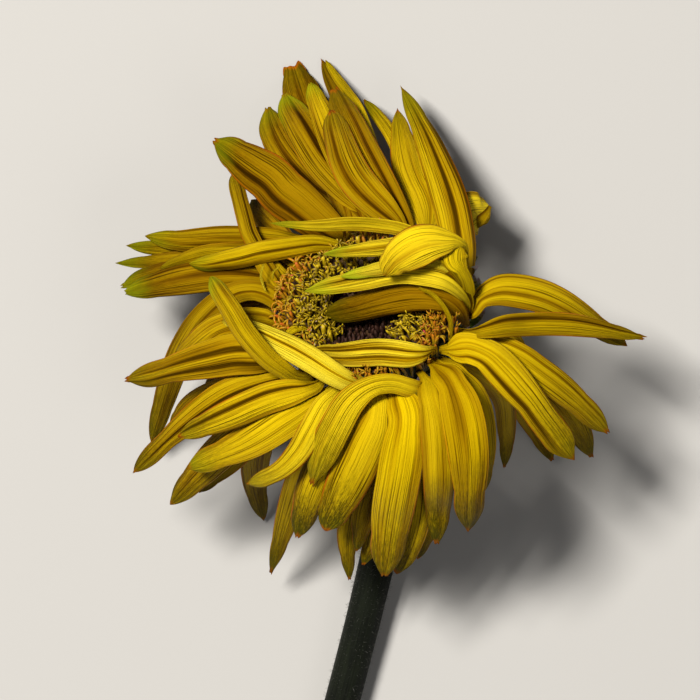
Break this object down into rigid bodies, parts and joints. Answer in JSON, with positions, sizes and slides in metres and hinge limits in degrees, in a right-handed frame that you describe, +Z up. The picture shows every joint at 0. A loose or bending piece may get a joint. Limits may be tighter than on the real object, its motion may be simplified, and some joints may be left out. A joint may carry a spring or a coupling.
{
  "type": "cut gerbera daisy",
  "caption": "Wilting yellow gerbera daisy lying on its back, with drooping curled petals, a dark disc and a cut green stem.",
  "frame": {"origin": "centre of the bottom of the flower's box, on the surface that it lies on", "axes": "+Z up from the surface, +Y from the stem's cut end towards the flower head"},
  "size_m": [0.1118, 0.2302, 0.0615],
  "materials": {
    "petal_yellow": "soft, finely ribbed",
    "disc_maroon": "velvety",
    "floret_olive": "fine florets",
    "floret_amber": "withered florets",
    "bract_green": "matt",
    "cup_green": "matt",
    "stem_green": "downy"
  },
  "bodies": {
    "root": {"disc_centre": "disc_maroon", "disc_florets": "floret_olive", "outer_florets": "floret_amber", "receptacle": "cup_green", "bract_collar": "bract_green", "stem": "stem_green", "petal_left_01": "petal_yellow", "petal_left_02": "petal_yellow", "petal_left_03": "petal_yellow", "petal_left_04": "petal_yellow", "petal_left_05": "petal_yellow", "petal_left_06": "petal_yellow", "petal_left_07": "petal_yellow", "petal_left_08": "petal_yellow", "petal_left_09": "petal_yellow", "petal_left_10": "petal_yellow", "petal_left_11": "petal_yellow", "petal_left_12": "petal_yellow", "petal_low_01": "petal_yellow", "petal_low_02": "petal_yellow", "petal_low_03": "petal_yellow", "petal_low_04": "petal_yellow", "petal_low_05": "petal_yellow", "petal_low_06": "petal_yellow", "petal_low_07": "petal_yellow", "petal_low_08": "petal_yellow", "petal_low_09": "petal_yellow", "petal_low_10": "petal_yellow", "petal_low_11": "petal_yellow", "petal_low_12": "petal_yellow", "petal_over_disc_01": "petal_yellow", "petal_over_disc_02": "petal_yellow", "petal_over_disc_03": "petal_yellow", "petal_over_disc_04": "petal_yellow", "petal_over_disc_05": "petal_yellow", "petal_over_disc_06": "petal_yellow", "petal_over_disc_07": "petal_yellow", "petal_over_disc_08": "petal_yellow", "petal_right_01": "petal_yellow", "petal_right_02": "petal_yellow", "petal_right_03": "petal_yellow", "petal_right_04": "petal_yellow", "petal_right_05": "petal_yellow", "petal_right_06": "petal_yellow", "petal_right_07": "petal_yellow", "petal_right_08": "petal_yellow", "petal_right_09": "petal_yellow", "petal_right_10": "petal_yellow", "petal_top_01": "petal_yellow", "petal_top_02": "petal_yellow", "petal_top_03": "petal_yellow", "petal_top_04": "petal_yellow", "petal_top_05": "petal_yellow", "petal_top_06": "petal_yellow", "petal_top_07": "petal_yellow", "petal_top_08": "petal_yellow", "petal_top_09": "petal_yellow", "petal_top_10": "petal_yellow", "petal_top_11": "petal_yellow", "petal_top_12": "petal_yellow"}
  },
  "joints": []
}
